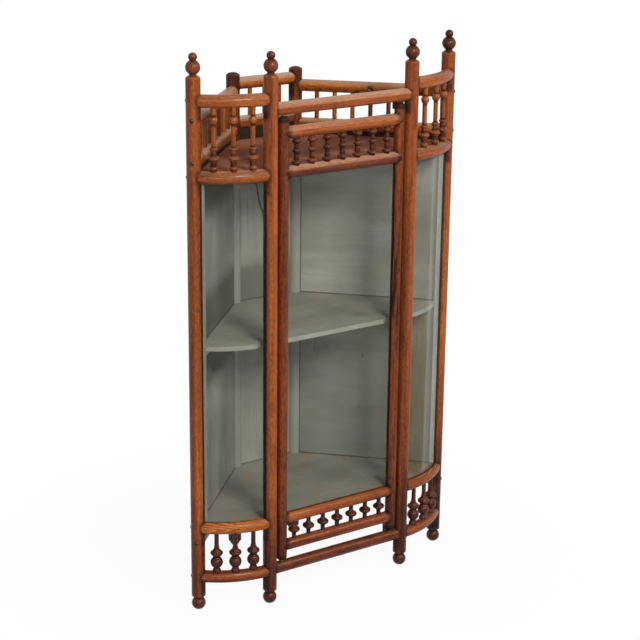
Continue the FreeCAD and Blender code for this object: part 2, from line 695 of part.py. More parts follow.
HINGE_X = "(-" + DOOR_HALF + ")"
BUSH_FOOT = "(" + STILE_FOOT + " - pin_reach)"
BUSH_HEAD = "(" + FRONT_APRON_Z + " + 0.5*rail_dia + bush_stand)"
UPPER_BUSH_FOOT = "(" + FRONT_CORNICE_Z + " - 0.5*rail_dia - bush_stand)"
UPPER_BUSH_HEAD = "(%s + pin_reach)" % STILE_TOP

lower_pin = upright("lower_pin", "pin_dia", "pin_reach + pin_depth",
                    (HINGE_X, FRONT, BUSH_FOOT + " + axial_gap"))
upper_pin = upright("upper_pin", "pin_dia", "pin_reach + pin_depth",
                    (HINGE_X, FRONT, STILE_TOP + " - pin_depth - axial_gap"))
node("door_pivot_pins", group("pivot_pins", [lower_pin, upper_pin]))


def pivot_bush(name, foot, head):
    """A bush with its blank, which bores the rail, and its bore, which gives the pin its running gap."""
    stock = upright(name + "_blank", "bush_dia", head + " - " + foot, (HINGE_X, FRONT, foot))
    bore = upright(name + "_bore", "(pin_dia + 2*bush_wall_gap)", head + " - " + foot + " + 2*overrun",
                   (HINGE_X, FRONT, foot + " - overrun"))
    return cut(name, stock, [bore]), stock


lower_bush, lower_bush_blank = pivot_bush("lower_bush", BUSH_FOOT, BUSH_HEAD)
upper_bush, upper_bush_blank = pivot_bush("upper_bush", UPPER_BUSH_FOOT, UPPER_BUSH_HEAD)
node("door_pivot_bushes", group("pivot_bushes", [lower_bush, upper_bush]))

WASHER_FOOT = "(%s + axial_gap)" % BUSH_HEAD
washer_blank = upright("washer_blank", "washer_dia", STILE_FOOT + " - " + WASHER_FOOT,
                       (HINGE_X, FRONT, WASHER_FOOT))
node("door_pivot_washer", cut("washer", washer_blank, [lower_pin]))

cross_rail("front_cornice_rail", "inner_post", FRONT_CORNICE_Z, [upper_bush_blank], "front_half", FRONT)
cross_rail("front_apron_rail", "inner_post", FRONT_APRON_Z, [lower_bush_blank], "front_half", FRONT)


# Door stops: an oak block under the upper front rail and one on the lower, each with a lip behind the stile

def door_stop(name, seat, reach, lip):
    """One stop block. It lies between two heights, and its lip between two more."""
    x = DOOR_HALF + " - 0.5*stop_width"
    behind = "0.5*stile_dia + stop_gap"
    size = ("stop_width", "stop_front + %s + stop_lip" % behind, "(%s) - (%s)" % (reach, seat))
    body = block(name + "_block", size, (x, FRONT + " - stop_front", seat))
    tongue = block(name + "_lip", ("stop_width", "stop_lip", "(%s) - (%s)" % (lip[1], lip[0])),
                   (x, FRONT + " + " + behind, lip[0]))
    return fuse(name, [body, tongue])


upper_stop = door_stop("upper_stop", STILE_TOP + " + axial_gap", FRONT_CORNICE_Z,
                       (STILE_TOP + " - stop_drop", STILE_TOP + " + axial_gap + overrun"))
lower_stop = door_stop("lower_stop", FRONT_APRON_Z, STILE_FOOT + " - axial_gap",
                       (FRONT_APRON_Z, STILE_FOOT + " + stop_drop"))
front_rods = [doc.getObject("front_cornice_rail_rod"), doc.getObject("front_apron_rail_rod")]
node("door_stops", cut("stops", group("stop_blocks", [upper_stop, lower_stop]), front_rods))


# Front and rear posts, bored for the tenons and screws and grooved for the panels and the glass

for name, (x, y) in POSTS.items():
    side, kind = name.split("_")[:2]
    tools = list(post_tenons[name])
    if kind == "outer":
        tools += screw_shanks[side] + screw_seats[side] + [panels[side], pane_grooves[side]]
    if kind == "inner":
        tools.append(pane_grooves[side])
    if kind == "rear":
        tools += [panels[side], panels["centre"]]
    outline = rear_post_outline() if kind == "rear" else front_post_outline()
    body = place(turned(name, outline), x, y)
    node(name, cut(name + "_bored", body, tools))


# Boards

def plate(name, z, thickness, radius, front):
    """A board's blank: two bay slices, the strip between them and the part that narrows to the back."""
    low = "(%s - %s)" % (z, thickness)
    slices = [bay_sector("%s_%s_slice" % (name, side), side, radius, thickness, low) for side in SIDES]
    strip = block(name + "_strip", ("2*front_half", "bay_radius - " + front, thickness),
                  ("-front_half", FRONT + " + " + front, low))
    back = doc.addObject("Part::Wedge", name + "_back")
    bind(back, Xmin="-front_half", Xmax="front_half", X2min="-back_half", X2max="back_half", Ymin="0",
         Ymax=BACK_Y + " - bay_radius", Zmin="0", Zmax=thickness, Z2min="0", Z2max=thickness)
    place(back, "0", CENTRE_Y, low)
    return fuse(name + "_plate", slices + [strip, back])


every_panel = list(panels.values())
for name, z, row in (("top_board", TOP_BOARD_Z, 1), ("floor_board", FLOOR_BOARD_Z, 2)):
    whole = plate(name, z, "board_thickness", "bay_radius", "board_front")
    arcs = [doc.getObject(bay_rails[side][row].Label + "_arc") for side in SIDES]
    node(name, cut(name + "_fitted", whole, every_blank + every_panel + arcs))


def shelf_notch(side):
    """The V notch that lets the shelf pass behind an inner post and the door's stile."""
    sign = SIDES[side]
    item = doc.addObject("Part::Wedge", side + "_notch")
    inner, outer = ("-notch_outer", "notch_inner") if side == "left" else ("-notch_inner", "notch_outer")
    apex = "%s*(front_half - notch_apex) - (%s*front_half)" % (sign, sign)
    bind(item, Xmin=inner, Xmax=outer, X2min=apex, X2max=apex, Ymin="0", Ymax="notch_depth", Zmin="0",
         Zmax="board_thickness + 2*overrun", Z2min="0", Z2max="board_thickness + 2*overrun")
    return place(item, sign + "*front_half", FRONT, SHELF_Z + " - board_thickness - overrun")


shelf = plate("shelf", SHELF_Z, "board_thickness", "bay_radius - shelf_setback", "shelf_setback")
notches = [shelf_notch(side) for side in SIDES]
node("shelf", cut("shelf_fitted", shelf, every_blank + every_panel + notches + list(strips.values())))


def cleat_set(name, top, centre=True):
    """Cleats on the inner faces of the back walls, under a board."""
    face = "(0.5*panel_thickness + cleat_width)"
    low = "(%s - cleat_height)" % top
    size = (WALL_LENGTH + " - 2*cleat_end", "cleat_width", "cleat_height")
    cleats = [side_slab("%s_%s" % (side, name), side, "cleat_end", face, size, low) for side in SIDES]
    if centre:
        cleats.append(block("centre_" + name, ("2*(back_half - cleat_end)", "cleat_width", "cleat_height"),
                            ("-(back_half - cleat_end)", REAR + " - " + face, low)))
    return node(name, group(name + "_set", cleats))


cleat_set("top_cleats", "(" + TOP_BOARD_Z + " - board_thickness)")
cleat_set("shelf_cleats", "(" + SHELF_Z + " - board_thickness)")
cleat_set("floor_cleats", "(" + FLOOR_BOARD_Z + " - board_thickness)", centre=False)


# Door

STILES = {"hinge": HINGE_X, "meeting": DOOR_HALF}
stile_blanks = [upright(kind + "_stile_blank", "stile_dia", STILE_LENGTH, (x, FRONT, STILE_FOOT))
                for kind, x in STILES.items()]
stile_tenons = {kind: [] for kind in STILES}
DOOR_TENON = "(0.5*stile_dia - tenon_gap + tenon_root)"


def door_rail(name, z, tools):
    rod = level(name + "_rod", "door_rail_dia", "2*" + DOOR_HALF, (HINGE_X, FRONT, z), "0")
    coped = cut(name + "_coped", rod, stile_blanks + tools)
    joints = []
    for kind, x, sign, azimuth in (("hinge", HINGE_X, "+", "0"), ("meeting", DOOR_HALF, "-", "180")):
        joint = level("%s_%s_tenon" % (name, kind), "tenon_dia", DOOR_TENON,
                      ("%s %s tenon_gap" % (x, sign), FRONT, z), azimuth)
        stile_tenons[kind].append(joint)
        joints.append(joint)
    return node(name, fuse(name + "_rail", [coped] + joints))


def door_spindles(kind, low, high):
    gap = "(%s - %s - door_rail_dia)" % (high, low)
    half = "(" + DOOR_HALF + " - 0.5*stile_dia - door_spindle_margin)"
    body = row_pattern(turned("door_" + kind, spindle_outline(kind, gap)), "2*" + half, 7)
    return place(body, "-" + half, FRONT, low + " + 0.5*door_rail_dia - spindle_tenon")


frieze_spindles = node("door_frieze_spindles", door_spindles("frieze", DOOR_FRIEZE_Z, DOOR_TOP_Z))
bead_spindles = node("door_apron_spindles", door_spindles("bead", DOOR_BOTTOM_Z, DOOR_SILL_Z))

DOOR_GLASS_HALF = "(" + DOOR_HALF + " - 0.5*stile_dia + glass_bite)"
DOOR_GLASS_LOW = "(" + DOOR_SILL_Z + " + 0.5*door_rail_dia - glass_bite)"
DOOR_GLASS_HIGH = "(" + DOOR_FRIEZE_Z + " - 0.5*door_rail_dia + glass_bite)"


def door_pane(name, thickness):
    """A flat sheet whose inner face lies half a glass behind the stiles' axes."""
    return block(name, ("2*" + DOOR_GLASS_HALF, thickness, DOOR_GLASS_HIGH + " - " + DOOR_GLASS_LOW),
                 ("-" + DOOR_GLASS_HALF, FRONT + " + 0.5*glass_thickness - " + thickness, DOOR_GLASS_LOW))


node("door_glass", door_pane("door_sheet", "glass_thickness"))
door_groove = door_pane("door_groove", "glazing_groove")

door_rail("door_top_rail", DOOR_TOP_Z, [frieze_spindles])
door_rail("door_frieze_rail", DOOR_FRIEZE_Z, [frieze_spindles, door_groove])
door_rail("door_sill_rail", DOOR_SILL_Z, [bead_spindles, door_groove])
door_rail("door_bottom_rail", DOOR_BOTTOM_Z, [bead_spindles])


def stile_outline():
    end = "0.5*stile_end_dia"
    full = "0.5*stile_dia"
    return [(end, "0"), (full, "stile_end_rise", "stile_end_round"),
            (full, STILE_LENGTH + " - stile_end_rise"), (end, STILE_LENGTH, "stile_end_round")]


for kind, x in STILES.items():
    body = place(turned(kind + "_stile", stile_outline()), x, FRONT, STILE_FOOT)
    tools = stile_tenons[kind] + [door_groove]
    if kind == "hinge":
        tools += [lower_pin, upper_pin]
    node("door_%s_stile" % kind, cut(kind + "_stile_bored", body, tools))


# Build, check and write every piece

doc.recompute()
faults = [item.Name for item in doc.Objects if "Invalid" in item.State or "Error" in item.State]
for name, item in nodes.items():
    if item.Shape.isNull() or not item.Shape.isValid() or not item.Shape.Solids:
        faults.append(name)
if faults:
    raise RuntimeError("these objects failed: " + ", ".join(faults))

os.makedirs("parts", exist_ok=True)
for name, item in nodes.items():
    item.Shape.exportStep(os.path.join("parts", name + ".step"))
    print("%-28s %3d solids %10.0f mm3" % (name, len(item.Shape.Solids), item.Shape.Volume))
print(len(nodes), "pieces")
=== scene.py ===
import math

import bpy
from mathutils import Matrix, Vector


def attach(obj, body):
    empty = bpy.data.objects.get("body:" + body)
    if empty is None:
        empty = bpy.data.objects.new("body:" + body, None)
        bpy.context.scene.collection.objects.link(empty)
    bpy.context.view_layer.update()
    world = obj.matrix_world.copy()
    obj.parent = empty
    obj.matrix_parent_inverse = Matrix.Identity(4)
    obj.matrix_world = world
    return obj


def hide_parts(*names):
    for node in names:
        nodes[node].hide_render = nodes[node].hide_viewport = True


# The looks of a corner wall cabinet of turned oak rods. Everything is in metres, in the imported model's
# frame: +Z up, +Y from the door into the corner, the origin on the floor under the middle.

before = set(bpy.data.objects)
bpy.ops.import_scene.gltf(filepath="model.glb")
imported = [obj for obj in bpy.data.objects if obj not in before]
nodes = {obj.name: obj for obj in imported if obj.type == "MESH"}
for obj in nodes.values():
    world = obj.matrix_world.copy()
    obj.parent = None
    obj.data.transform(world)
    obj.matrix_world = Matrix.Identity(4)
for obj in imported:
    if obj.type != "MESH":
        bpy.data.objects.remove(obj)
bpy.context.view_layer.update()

# Plan of the cabinet, as the solids have it
FRONT_HALF = 0.1671
BAY_RADIUS = 0.193
BAY_TURN = math.radians(45)
BACK_HALF = 0.0769
DEPTH = BAY_RADIUS + FRONT_HALF - BACK_HALF
FRONT_Y = -DEPTH/2
REAR_Y = DEPTH/2
BAY_CENTRE_Y = FRONT_Y + BAY_RADIUS
OUTER_X = FRONT_HALF + BAY_RADIUS*math.sin(BAY_TURN)
OUTER_Y = FRONT_Y + BAY_RADIUS*(1 - math.cos(BAY_TURN))
POST_AXES = {"inner": (FRONT_HALF, FRONT_Y), "outer": (OUTER_X, OUTER_Y), "rear": (BACK_HALF, REAR_Y)}
DOOR_HALF = 0.1386
SPINDLE_PITCH = 0.036
HALF_ROOT = math.sqrt(0.5)
SIGNS = {"left": -1, "right": 1}

# Heights of the rails, from the top down
BAY_RAILS = (1.0505, 0.904, 0.1815, 0.074)
FRONT_RAILS = (1.0297, 0.0753)
SIDE_RAILS = (1.0142, 0.9333, 0.1505)
CENTRE_RAILS = (1.0297, 0.949, 0.1658)
DOOR_RAILS = (0.9822, 0.9046, 0.1814, 0.1213)
TOP_BOARD = 0.913
SHELF = 0.563
FLOOR_BOARD = 0.188

# Where the painted inside begins: the centre wall's face behind the rear axis, the side walls' face in level
# x plus y, the floor's and the top board's faces
CENTRE_FACE = REAR_Y - 0.0035
SIDE_FACE = OUTER_X + OUTER_Y - 0.005
FLOOR_FACE = FLOOR_BOARD - 0.002
TOP_FACE = TOP_BOARD - 0.007

# Heights of the turnings: the necks of a front post, a rear post's ends, where a foot ends, where a finial
# and its top ball begin, the middle of a door stile, and the feet of the gallery's and the frieze's spindles
POST_NECKS = (0.0264, 1.0999, 1.1264)
REAR_ENDS = (0.004, 1.053)
FOOT_TOP = 0.031
FINIAL_FOOT = 1.094
TOP_BALL = 1.114
STILE_MIDDLE = 0.5524
GALLERY_FOOT = 0.9167
FRIEZE_FOOT = 0.9166

# The necks of the gallery's and the door's spindles, each as its height above the foot and its reach
GALLERY_NECKS = ((0.001, 0.003), (0.0115, 0.004), (0.0155, 0.004), (0.0325, 0.004), (0.0475, 0.0028),
                 (0.0885, 0.004), (0.106, 0.0028))
FRIEZE_NECKS = ((0.001, 0.0025), (0.0115, 0.003), (0.0235, 0.0022), (0.0335, 0.0022), (0.0425, 0.0022))

# How far the darkening reaches: dirt and painted shade at a post's necks and joints and in streaks below
# them, dirt from a post's axis along rails and in the walls' corner, from a stile's axis along the door's
# rails, and round the wall screw's hole
NECK_REACH = 0.0036
JOINT_REACH = 0.0165
STREAK_DROP = 0.018
STREAK_REACH = 0.026
RAIL_JOINT = (0.0178, 0.0146)
WALL_JOINT = (0.0172, 0.0152)
DOOR_JOINT = (0.021, 0.0112)
HOLE_REACH = 0.0085

# How deep brush marks and grain stand in a bump, and how much of it shows
RELIEF = 0.0003
RELIEF_SHARE = 0.6

# Round head screws in the outer posts
SCREW_SEAT = 0.0136
HEAD_RADIUS = 0.0044
HEAD_RISE = 0.0024
SLOT_WIDTH = 0.0011
SLOT_DEPTH = 0.0013
SHANK_RADIUS = 0.0021
SHANK_LENGTH = 0.0439

# The wall screw's hole, counted along a side top rail, a chip in the left wall, and the crack in the middle
# board with its lean per height
WALL_HOLE = -0.1145
WALL_CHIP = (-0.2145, 0.48)
CRACK_FOOT = (-0.0135, 0.7708)
CRACK_LEAN = 0.25

# The photograph's viewpoint, solved on the posts and rails, in degrees, millimetres of lens and metres
CAMERA_AZIMUTH = -34.57
CAMERA_ELEVATION = 17.5
CAMERA_ROLL = 0.65
CAMERA_LENS = 96.54
CAMERA_SENSOR = 36.0
CAMERA_PLACE = (-1.9098, FRONT_Y - 2.7008, 1.627)

# The studio: half the floor's side, the lamps' side and target, and each lamp's place, power and colour. The
# floor's white is the least share of it that shows beside its shadow.
FLOOR_HALF = 14.0
LAMP_SIDE = 1.0
LAMP_TARGET = (0.0, 0.0, 0.6)
LAMPS = {
    "key_softbox": ((-0.35, -2.75, 2.5), 94.0, (1.0, 0.99, 0.97)),
    "right_softbox": ((1.4, -2.2, 2.2), 30.0, (1.0, 0.99, 0.97)),
    "left_fill": ((-1.9, -2.6, 1.6), 14.0, (1.0, 1.0, 1.0)),
}
SKY_STRENGTH = 0.2
SKY_COLOUR = (0.97, 0.98, 1.0, 1.0)
FLOOR_GREY = (0.82, 0.82, 0.82, 1.0)
FLOOR_WHITE = 0.95
WHITE = (1.0, 1.0, 1.0, 1.0)
CLEAR = (0.965, 0.972, 0.965, 1.0)


def tint(red, green, blue):
    """The linear colour of a written one."""
    def linear(value):
        share = value/255
        return share/12.92 if share <= 0.04045 else ((share + 0.055)/1.055)**2.4
    return (linear(red), linear(green), linear(blue), 1.0)


PAINT_PALE = tint(165, 166, 155)
PAINT_DARK = tint(142, 143, 132)
PAINT_WARM = tint(150, 142, 120)
PAINT_COOL = tint(150, 156, 152)
# The walls' paint on the rear posts, darkened as painted shade
POST_PAINT = tint(136, 138, 126)
BRUSH_LINE = tint(122, 120, 104)
FLECK = tint(104, 90, 68)
# The colour that painted shade on the paint blends toward
SHADE_TONE = tint(82, 82, 71)
YELLOWED = tint(108, 90, 60)
DRIFT = tint(136, 116, 86)
MARK = tint(66, 54, 38)
# Bare wood above the top board, darkened to near-black as painted shade
ABOVE_BOARD = tint(36, 24, 18)
BACK_PALE = tint(112, 82, 58)
BACK_DARK = tint(74, 50, 34)
BOARD_DARK = tint(128, 76, 54)
BOARD_PALE = tint(164, 106, 78)
BOARD_GRAIN = tint(70, 36, 24)
BOARD_DUST = tint(158, 122, 98)
BOARD_STAIN = tint(52, 28, 20)
BOARD_EDGE = tint(30, 18, 12)
GRAIN = ((0.0, tint(26, 9, 4)), (0.25, tint(72, 27, 9)), (0.5, tint(128, 62, 21)), (0.75, tint(170, 98, 38)),
         (1.0, tint(210, 148, 80)))
PORE = tint(40, 15, 7)
# The near-black that oak's dirt and painted shade blend toward
GRIME_SHADE = tint(22, 10, 6)
# Pale dust on oak, which also stands in for a painted sheen
DUST_SHEEN = tint(168, 146, 124)
GLOSS = tint(190, 190, 184)
IRON = (tint(70, 58, 48), tint(24, 17, 14))
BRASS = (tint(150, 118, 62), tint(74, 54, 30))


def set_stops(ramp, stops):
    while len(ramp.elements) < len(stops):
        ramp.elements.new(1.0)
    for element, (position, colour) in zip(ramp.elements, stops):
        element.position = position
        element.color = colour


def add_node(tree, kind, settings=None, inputs=None):
    """Adds a node: its settings first, and then the values or links of its sockets."""
    node = tree.nodes.new(kind)
    for name, value in (settings or {}).items():
        if name == "stops":
            set_stops(node.color_ramp, value)
        else:
            setattr(node, name, value)
    for name, value in (inputs or {}).items():
        if isinstance(value, Field):
            value = value.socket
        if isinstance(value, bpy.types.NodeSocket):
            tree.links.new(value, node.inputs[name])
        else:
            node.inputs[name].default_value = value
    return node


class Field:
    """A number that changes over a surface. Its operators add Math nodes to its finish."""

    def __init__(self, finish, socket):
        self.finish = finish
        self.socket = socket

    def math(self, operation, *others):
        inputs = dict(enumerate((self,) + others))
        return self.finish.field("ShaderNodeMath", {"operation": operation}, inputs)

    def __add__(self, other):
        return self.math("ADD", other)

    __radd__ = __add__

    def __mul__(self, other):
        return self.math("MULTIPLY", other)

    __rmul__ = __mul__

    def __sub__(self, other):
        return self.math("SUBTRACT", other)

    def __rsub__(self, other):
        return self.finish.field("ShaderNodeMath", {"operation": "SUBTRACT"}, {0: other, 1: self})

    def __neg__(self):
        return self*-1

    def __pow__(self, other):
        return self.math("POWER", other)

    def __abs__(self):
        return self.math("ABSOLUTE")

    def least(self, other):
        return self.math("MINIMUM", other)

    def most(self, other):
        return self.math("MAXIMUM", other)

    def repeat(self, pitch):
        """The distance to the nearest whole multiple of a pitch, with its sign."""
        return self.math("WRAP", pitch/2, -pitch/2)

    def rise(self, low, high):
        """0 at low and 1 at high, eased, and held beyond them. It falls where low is above high."""
        return self.finish.field("ShaderNodeMapRange", {"interpolation_type": "SMOOTHSTEP"},
                                 {"Value": self, "From Min": low, "From Max": high})


class Finish:
    """One material, and the few ways in which nodes are added to it."""

    def __init__(self, name):
        self.material = bpy.data.materials.new(name)
        self.material.use_nodes = True
        self.tree = self.material.node_tree
        self.tree.nodes.clear()
        self.place = self.add("ShaderNodeTexCoord").outputs["Object"]
        self.x, self.y, self.z = self.split(self.place)
        _, self.backward, self.upward = self.split(self.add("ShaderNodeNewGeometry").outputs["Normal"])

    def add(self, kind, settings=None, inputs=None):
        return add_node(self.tree, kind, settings, inputs)

    def field(self, kind, settings=None, inputs=None):
        return Field(self, self.add(kind, settings, inputs).outputs[0])

    def split(self, vector):
        parts = self.add("ShaderNodeSeparateXYZ", None, {0: vector}).outputs
        return [Field(self, part) for part in parts]

    def noise(self, vector, scale=1.0, detail=2.0, roughness=0.5):
        return self.field("ShaderNodeTexNoise", None,
                          {"Vector": vector, "Scale": scale, "Detail": detail, "Roughness": roughness})

    def drawn_out(self, x, y, z, detail=2.0, roughness=0.5):
        """Noise that is as fine in each direction as its coordinate is scaled up."""
        place = self.add("ShaderNodeCombineXYZ", None, {0: x, 1: y, 2: z}).outputs[0]
        return self.noise(place, 1.0, detail, roughness)

    def blend(self, amount, below, above):
        """One colour over another, by an amount."""
        return self.add("ShaderNodeMix", {"data_type": "RGBA"}, {0: amount, 6: below, 7: above}).outputs[2]

    def ramp(self, amount, stops):
        """The colour at an amount, between (amount, colour) stops."""
        return self.add("ShaderNodeValToRGB", {"stops": stops}, {0: amount}).outputs[0]

    def bump(self, height, depth, strength):
        inputs = {"Height": height, "Distance": depth, "Strength": strength}
        return self.add("ShaderNodeBump", None, inputs).outputs[0]

    def surface(self, **sockets):
        """A Principled surface, with its sockets given by name."""
        inputs = {name.replace("_", " "): value for name, value in sockets.items()}
        return self.add("ShaderNodeBsdfPrincipled", None, inputs).outputs[0]

    def done(self, shader):
        self.add("ShaderNodeOutputMaterial", None, {"Surface": shader})
        return self.material


# Shared fields

def axis_distance(finish, x, y):
    """The level distance to an upright axis and to its mirror image."""
    across = abs(finish.x) - x
    back = finish.y - y
    return (across*across + back*back)**0.5


def near_heights(finish, heights, reach):
    """1 at any of some heights, fading to 0 at a reach from them."""
    nearest = abs(finish.z - heights[0])
    for height in heights[1:]:
        nearest = nearest.least(abs(finish.z - height))
    return nearest.rise(reach, reach*0.55)


def inside_case(finish):
    """1 inside the back walls, between the floor and the top board."""
    walls = (CENTRE_FACE - finish.y).rise(0.0, 0.0006)
    walls = walls*(SIDE_FACE - abs(finish.x) - finish.y).rise(0.0, 0.0008)
    over_floor = (finish.z - FLOOR_FACE).rise(0.0, 0.001)
    under_top = (TOP_FACE - finish.z).rise(0.0, 0.001)
    return walls*over_floor*under_top


# Oak. The grain runs along a rod, so each run of rods has its own coordinates: across, deep, along.

def upright_run(finish):
    return finish.x, finish.y, finish.z


def level_run(finish):
    return finish.y, finish.z, finish.x


def wall_run(side):
    """Along a splayed back wall."""
    sign = SIGNS[side]

    def run(finish):
        along = (finish.x*(-sign) + finish.y)*HALF_ROOT
        across = (finish.x*sign + finish.y)*HALF_ROOT
        return across, finish.z, along
    return run


def bay_run(side):
    """Along a bay's arc."""
    sign = SIGNS[side]

    def run(finish):
        aside = finish.x*sign - FRONT_HALF
        ahead = BAY_CENTRE_Y - finish.y
        along = aside.math("ARCTAN2", ahead)*BAY_RADIUS
        across = (aside*aside + ahead*ahead)**0.5
        return across, finish.z, along
    return run


def oak(name, run, seed, grime_and_shade=None, deep=0.0, fine=1.0, painted=False, dust_and_sheen=0.0, ends=None, arched=None,
        shine=0.1, banded=1.05):
    """Varnished oak. grime_and_shade and ends take the finish and give fields; deep, a number or the same,
    darkens it. grime_and_shade is dirt and painted shade. ends is 1 where turning has left no grain to see,
    arched is where along the rod the grain makes arches, fine scales its streaks, painted covers what is
    inside the case, dust_and_sheen is the dust on top and a painted pale sheen, shine the share of fresh
    varnish and banded the strength of the broad bands."""
    finish = Finish(name)
    across, depth, along = run(finish)
    if callable(deep):
        deep = deep(finish)
    broad = finish.drawn_out(across*56 + seed, depth*56, along*1.6, 3, 0.55)
    streaks = finish.drawn_out(across*420*fine, depth*420*fine + seed, along*22, 4, 0.66)
    mottle = finish.drawn_out(across*260, depth*260, along*120 + seed, 5, 0.72)
    pores = finish.drawn_out(across*1400, depth*1400 + seed, along*200, 1).rise(0.58, 0.72)
    stains = finish.drawn_out(across*40, depth*40 + seed, along*16, 4, 0.6).rise(0.52, 0.75)
    value = (broad - 0.5)*banded + (streaks - 0.5)*0.45 + (mottle - 0.5)*0.5 - pores*0.1 - stains*0.1
    if ends is not None:
        turned = ends(finish)
        value = value*(1 - turned*0.75)
    if arched is not None:
        arch = (along - arched)*95 - (abs(depth - BAY_RAILS[2])*330)**1.4
        rings = ((arch + broad*5)*2.2).math("SINE").rise(0.1, 0.9)
        value = value + (rings - 0.4)*(along - arched).rise(-0.06, -0.03)*0.22
    low = finish.z.rise(0.26, 0.09)
    # Upward faces are painted lighter and undersides darker: painted highlight and shade
    colour = finish.ramp(value + 0.6 + finish.upward*0.1 - low*0.15 - deep*0.42, GRAIN)
    colour = finish.blend(pores*0.4, colour, PORE)
    patchy = finish.noise(finish.place, 60, 4, 0.65)
    dirt_and_shade = patchy.rise(0.64, 0.8)*0.2
    if grime_and_shade is not None:
        dirt_and_shade = dirt_and_shade.most((grime_and_shade(finish)*(patchy*1.6 + 0.15)).least(1.0))
    # Dirt and painted shade darken the oak toward near-black
    colour = finish.blend(dirt_and_shade*0.9, colour, GRIME_SHADE)
    # Pale dust on upward faces, which also stands in for a painted sheen of light
    if dust_and_sheen:
        dust_and_sheen_mask = finish.upward.rise(0.2, 0.95)*(mottle*1.2)*finish.z.rise(0.4, 0.6)
        colour = finish.blend(dust_and_sheen_mask*dust_and_sheen, colour, DUST_SHEEN)
    if painted:
        inside = inside_case(finish)
        # The rear posts' inside takes the walls' paint, darkened with painted shade
        brushed = finish.blend(streaks.rise(0.4, 0.7)*0.6, POST_PAINT, PAINT_DARK)
        colour = finish.blend(inside, colour, brushed)
        dirt_and_shade = dirt_and_shade.most(inside)
    rough = 0.27 + patchy*0.16 + dirt_and_shade*0.3
    height = streaks*0.35 - pores*0.6 + mottle*0.3 + patchy*0.3
    shader = finish.surface(Base_Color=colour, Roughness=rough, Coat_Weight=shine - dirt_and_shade*shine,
                            Coat_Roughness=0.12, Specular_IOR_Level=0.14,
                            Normal=finish.bump(height, RELIEF, RELIEF_SHARE))
    return finish.done(shader)


def facing(finish, kind, heading, low=0.001, high=0.0105):
    """1 on the side of a post, and of its mirror image, that looks along a heading, and 0 on its far side."""
    across = abs(finish.x) - POST_AXES[kind][0]
    back = finish.y - POST_AXES[kind][1]
    return (across*heading[0] + back*heading[1]).rise(low, high)


def paired_joints(kind):
    """For each row of rails that meets a post: its heading, seen from the post, and its heights."""
    return {
        "inner": (((-1, 0), FRONT_RAILS), ((1, 0), BAY_RAILS)),
        "outer": (((-HALF_ROOT, -HALF_ROOT), BAY_RAILS), ((-HALF_ROOT, HALF_ROOT), SIDE_RAILS)),
        "rear": (((HALF_ROOT, -HALF_ROOT), SIDE_RAILS), ((-1, 0), CENTRE_RAILS)),
    }[kind]


def glazed_height(finish):
    """1 between the rails that hold the curved glass."""
    return (finish.z - BAY_RAILS[2]).rise(0.0, 0.01)*(BAY_RAILS[1] - finish.z).rise(0.0, 0.01)


def behind_glass(finish, x, y, heading, inward):
    """1 on an upright's side that stands inside the glass, which leaves it along a heading."""
    across = abs(finish.x) - x
    back = finish.y - y
    along = across*heading[0] + back*heading[1]
    inside = across*inward[0] + back*inward[1]
    return along.rise(0.0, 0.002)*inside.rise(-0.0008, 0.0006)*glazed_height(finish)


def post_grime_and_shade(kind):
    """Dirt and painted shade round the rails' joints, in streaks below them and in the narrow parts of the
    turned ends, and painted shade by the curved glass: on the side behind it, and on the left posts also a
    thin painted shadow line where it enters the post."""
    def grime_and_shade(finish):
        necks = REAR_ENDS if kind == "rear" else POST_NECKS
        # Dirt and painted shade in the necks
        dirt_and_shade = near_heights(finish, necks, NECK_REACH)*0.55
        for heading, heights in paired_joints(kind):
            # Dirt and painted shade under the rails, at the joints and in streaks below them
            joint = near_heights(finish, heights, JOINT_REACH)*facing(finish, kind, heading)
            below = near_heights(finish, [height - STREAK_DROP for height in heights], STREAK_REACH)
            below = below*facing(finish, kind, heading, 0.005, 0.0125)
            dirt_and_shade = dirt_and_shade.most(joint*0.8).most(below*0.9)
            if heights is BAY_RAILS:
                inward = {"inner": (0, 1), "outer": (heading[0], -heading[1])}[kind]
                # Painted shade on the post's side inside the curved glass
                dirt_and_shade = dirt_and_shade.most(behind_glass(finish, *POST_AXES[kind], heading, inward)*4)
                # A thin painted shadow line on the left posts where the glass enters
                edge = facing(finish, kind, heading, 0.0124, 0.0132)*(-finish.x).rise(0.0, 0.01)
                dirt_and_shade = dirt_and_shade.most(edge*glazed_height(finish)*4)
        return dirt_and_shade
    return grime_and_shade


def finial(finish):
    """1 on the finials."""
    return finish.z.rise(FINIAL_FOOT, FINIAL_FOOT + 0.004)


def turned_ends(finish):
    """1 on the ball feet and the finials."""
    return finish.z.rise(FOOT_TOP, FOOT_TOP - 0.003).most(finial(finish))


def rail_grime(finish):
    """Dirt where a rail meets a post."""
    nearest = axis_distance(finish, *POST_AXES["inner"])
    for kind in ("outer", "rear"):
        nearest = nearest.least(axis_distance(finish, *POST_AXES[kind]))
    return nearest.rise(*RAIL_JOINT)*0.9


def wall_rail_grime(finish):
    """Dirt at a back rail's ends, over its dowels and round its screw hole."""
    hole = abs((finish.y - abs(finish.x))*HALF_ROOT - WALL_HOLE).rise(HOLE_REACH, 0.0035)
    hole = hole*near_heights(finish, SIDE_RAILS[:1], HOLE_REACH)
    spots = finish.drawn_out(finish.x*95, finish.y*95, finish.z*60, 1).rise(0.6, 0.68)
    spots = spots*near_heights(finish, (SIDE_RAILS[0] - 0.009,), 0.006)
    return rail_grime(finish).most(hole).most(spots*0.8)


def door_grime(finish):
    """Dirt where a door rail meets a stile."""
    return axis_distance(finish, DOOR_HALF, FRONT_Y).rise(*DOOR_JOINT)


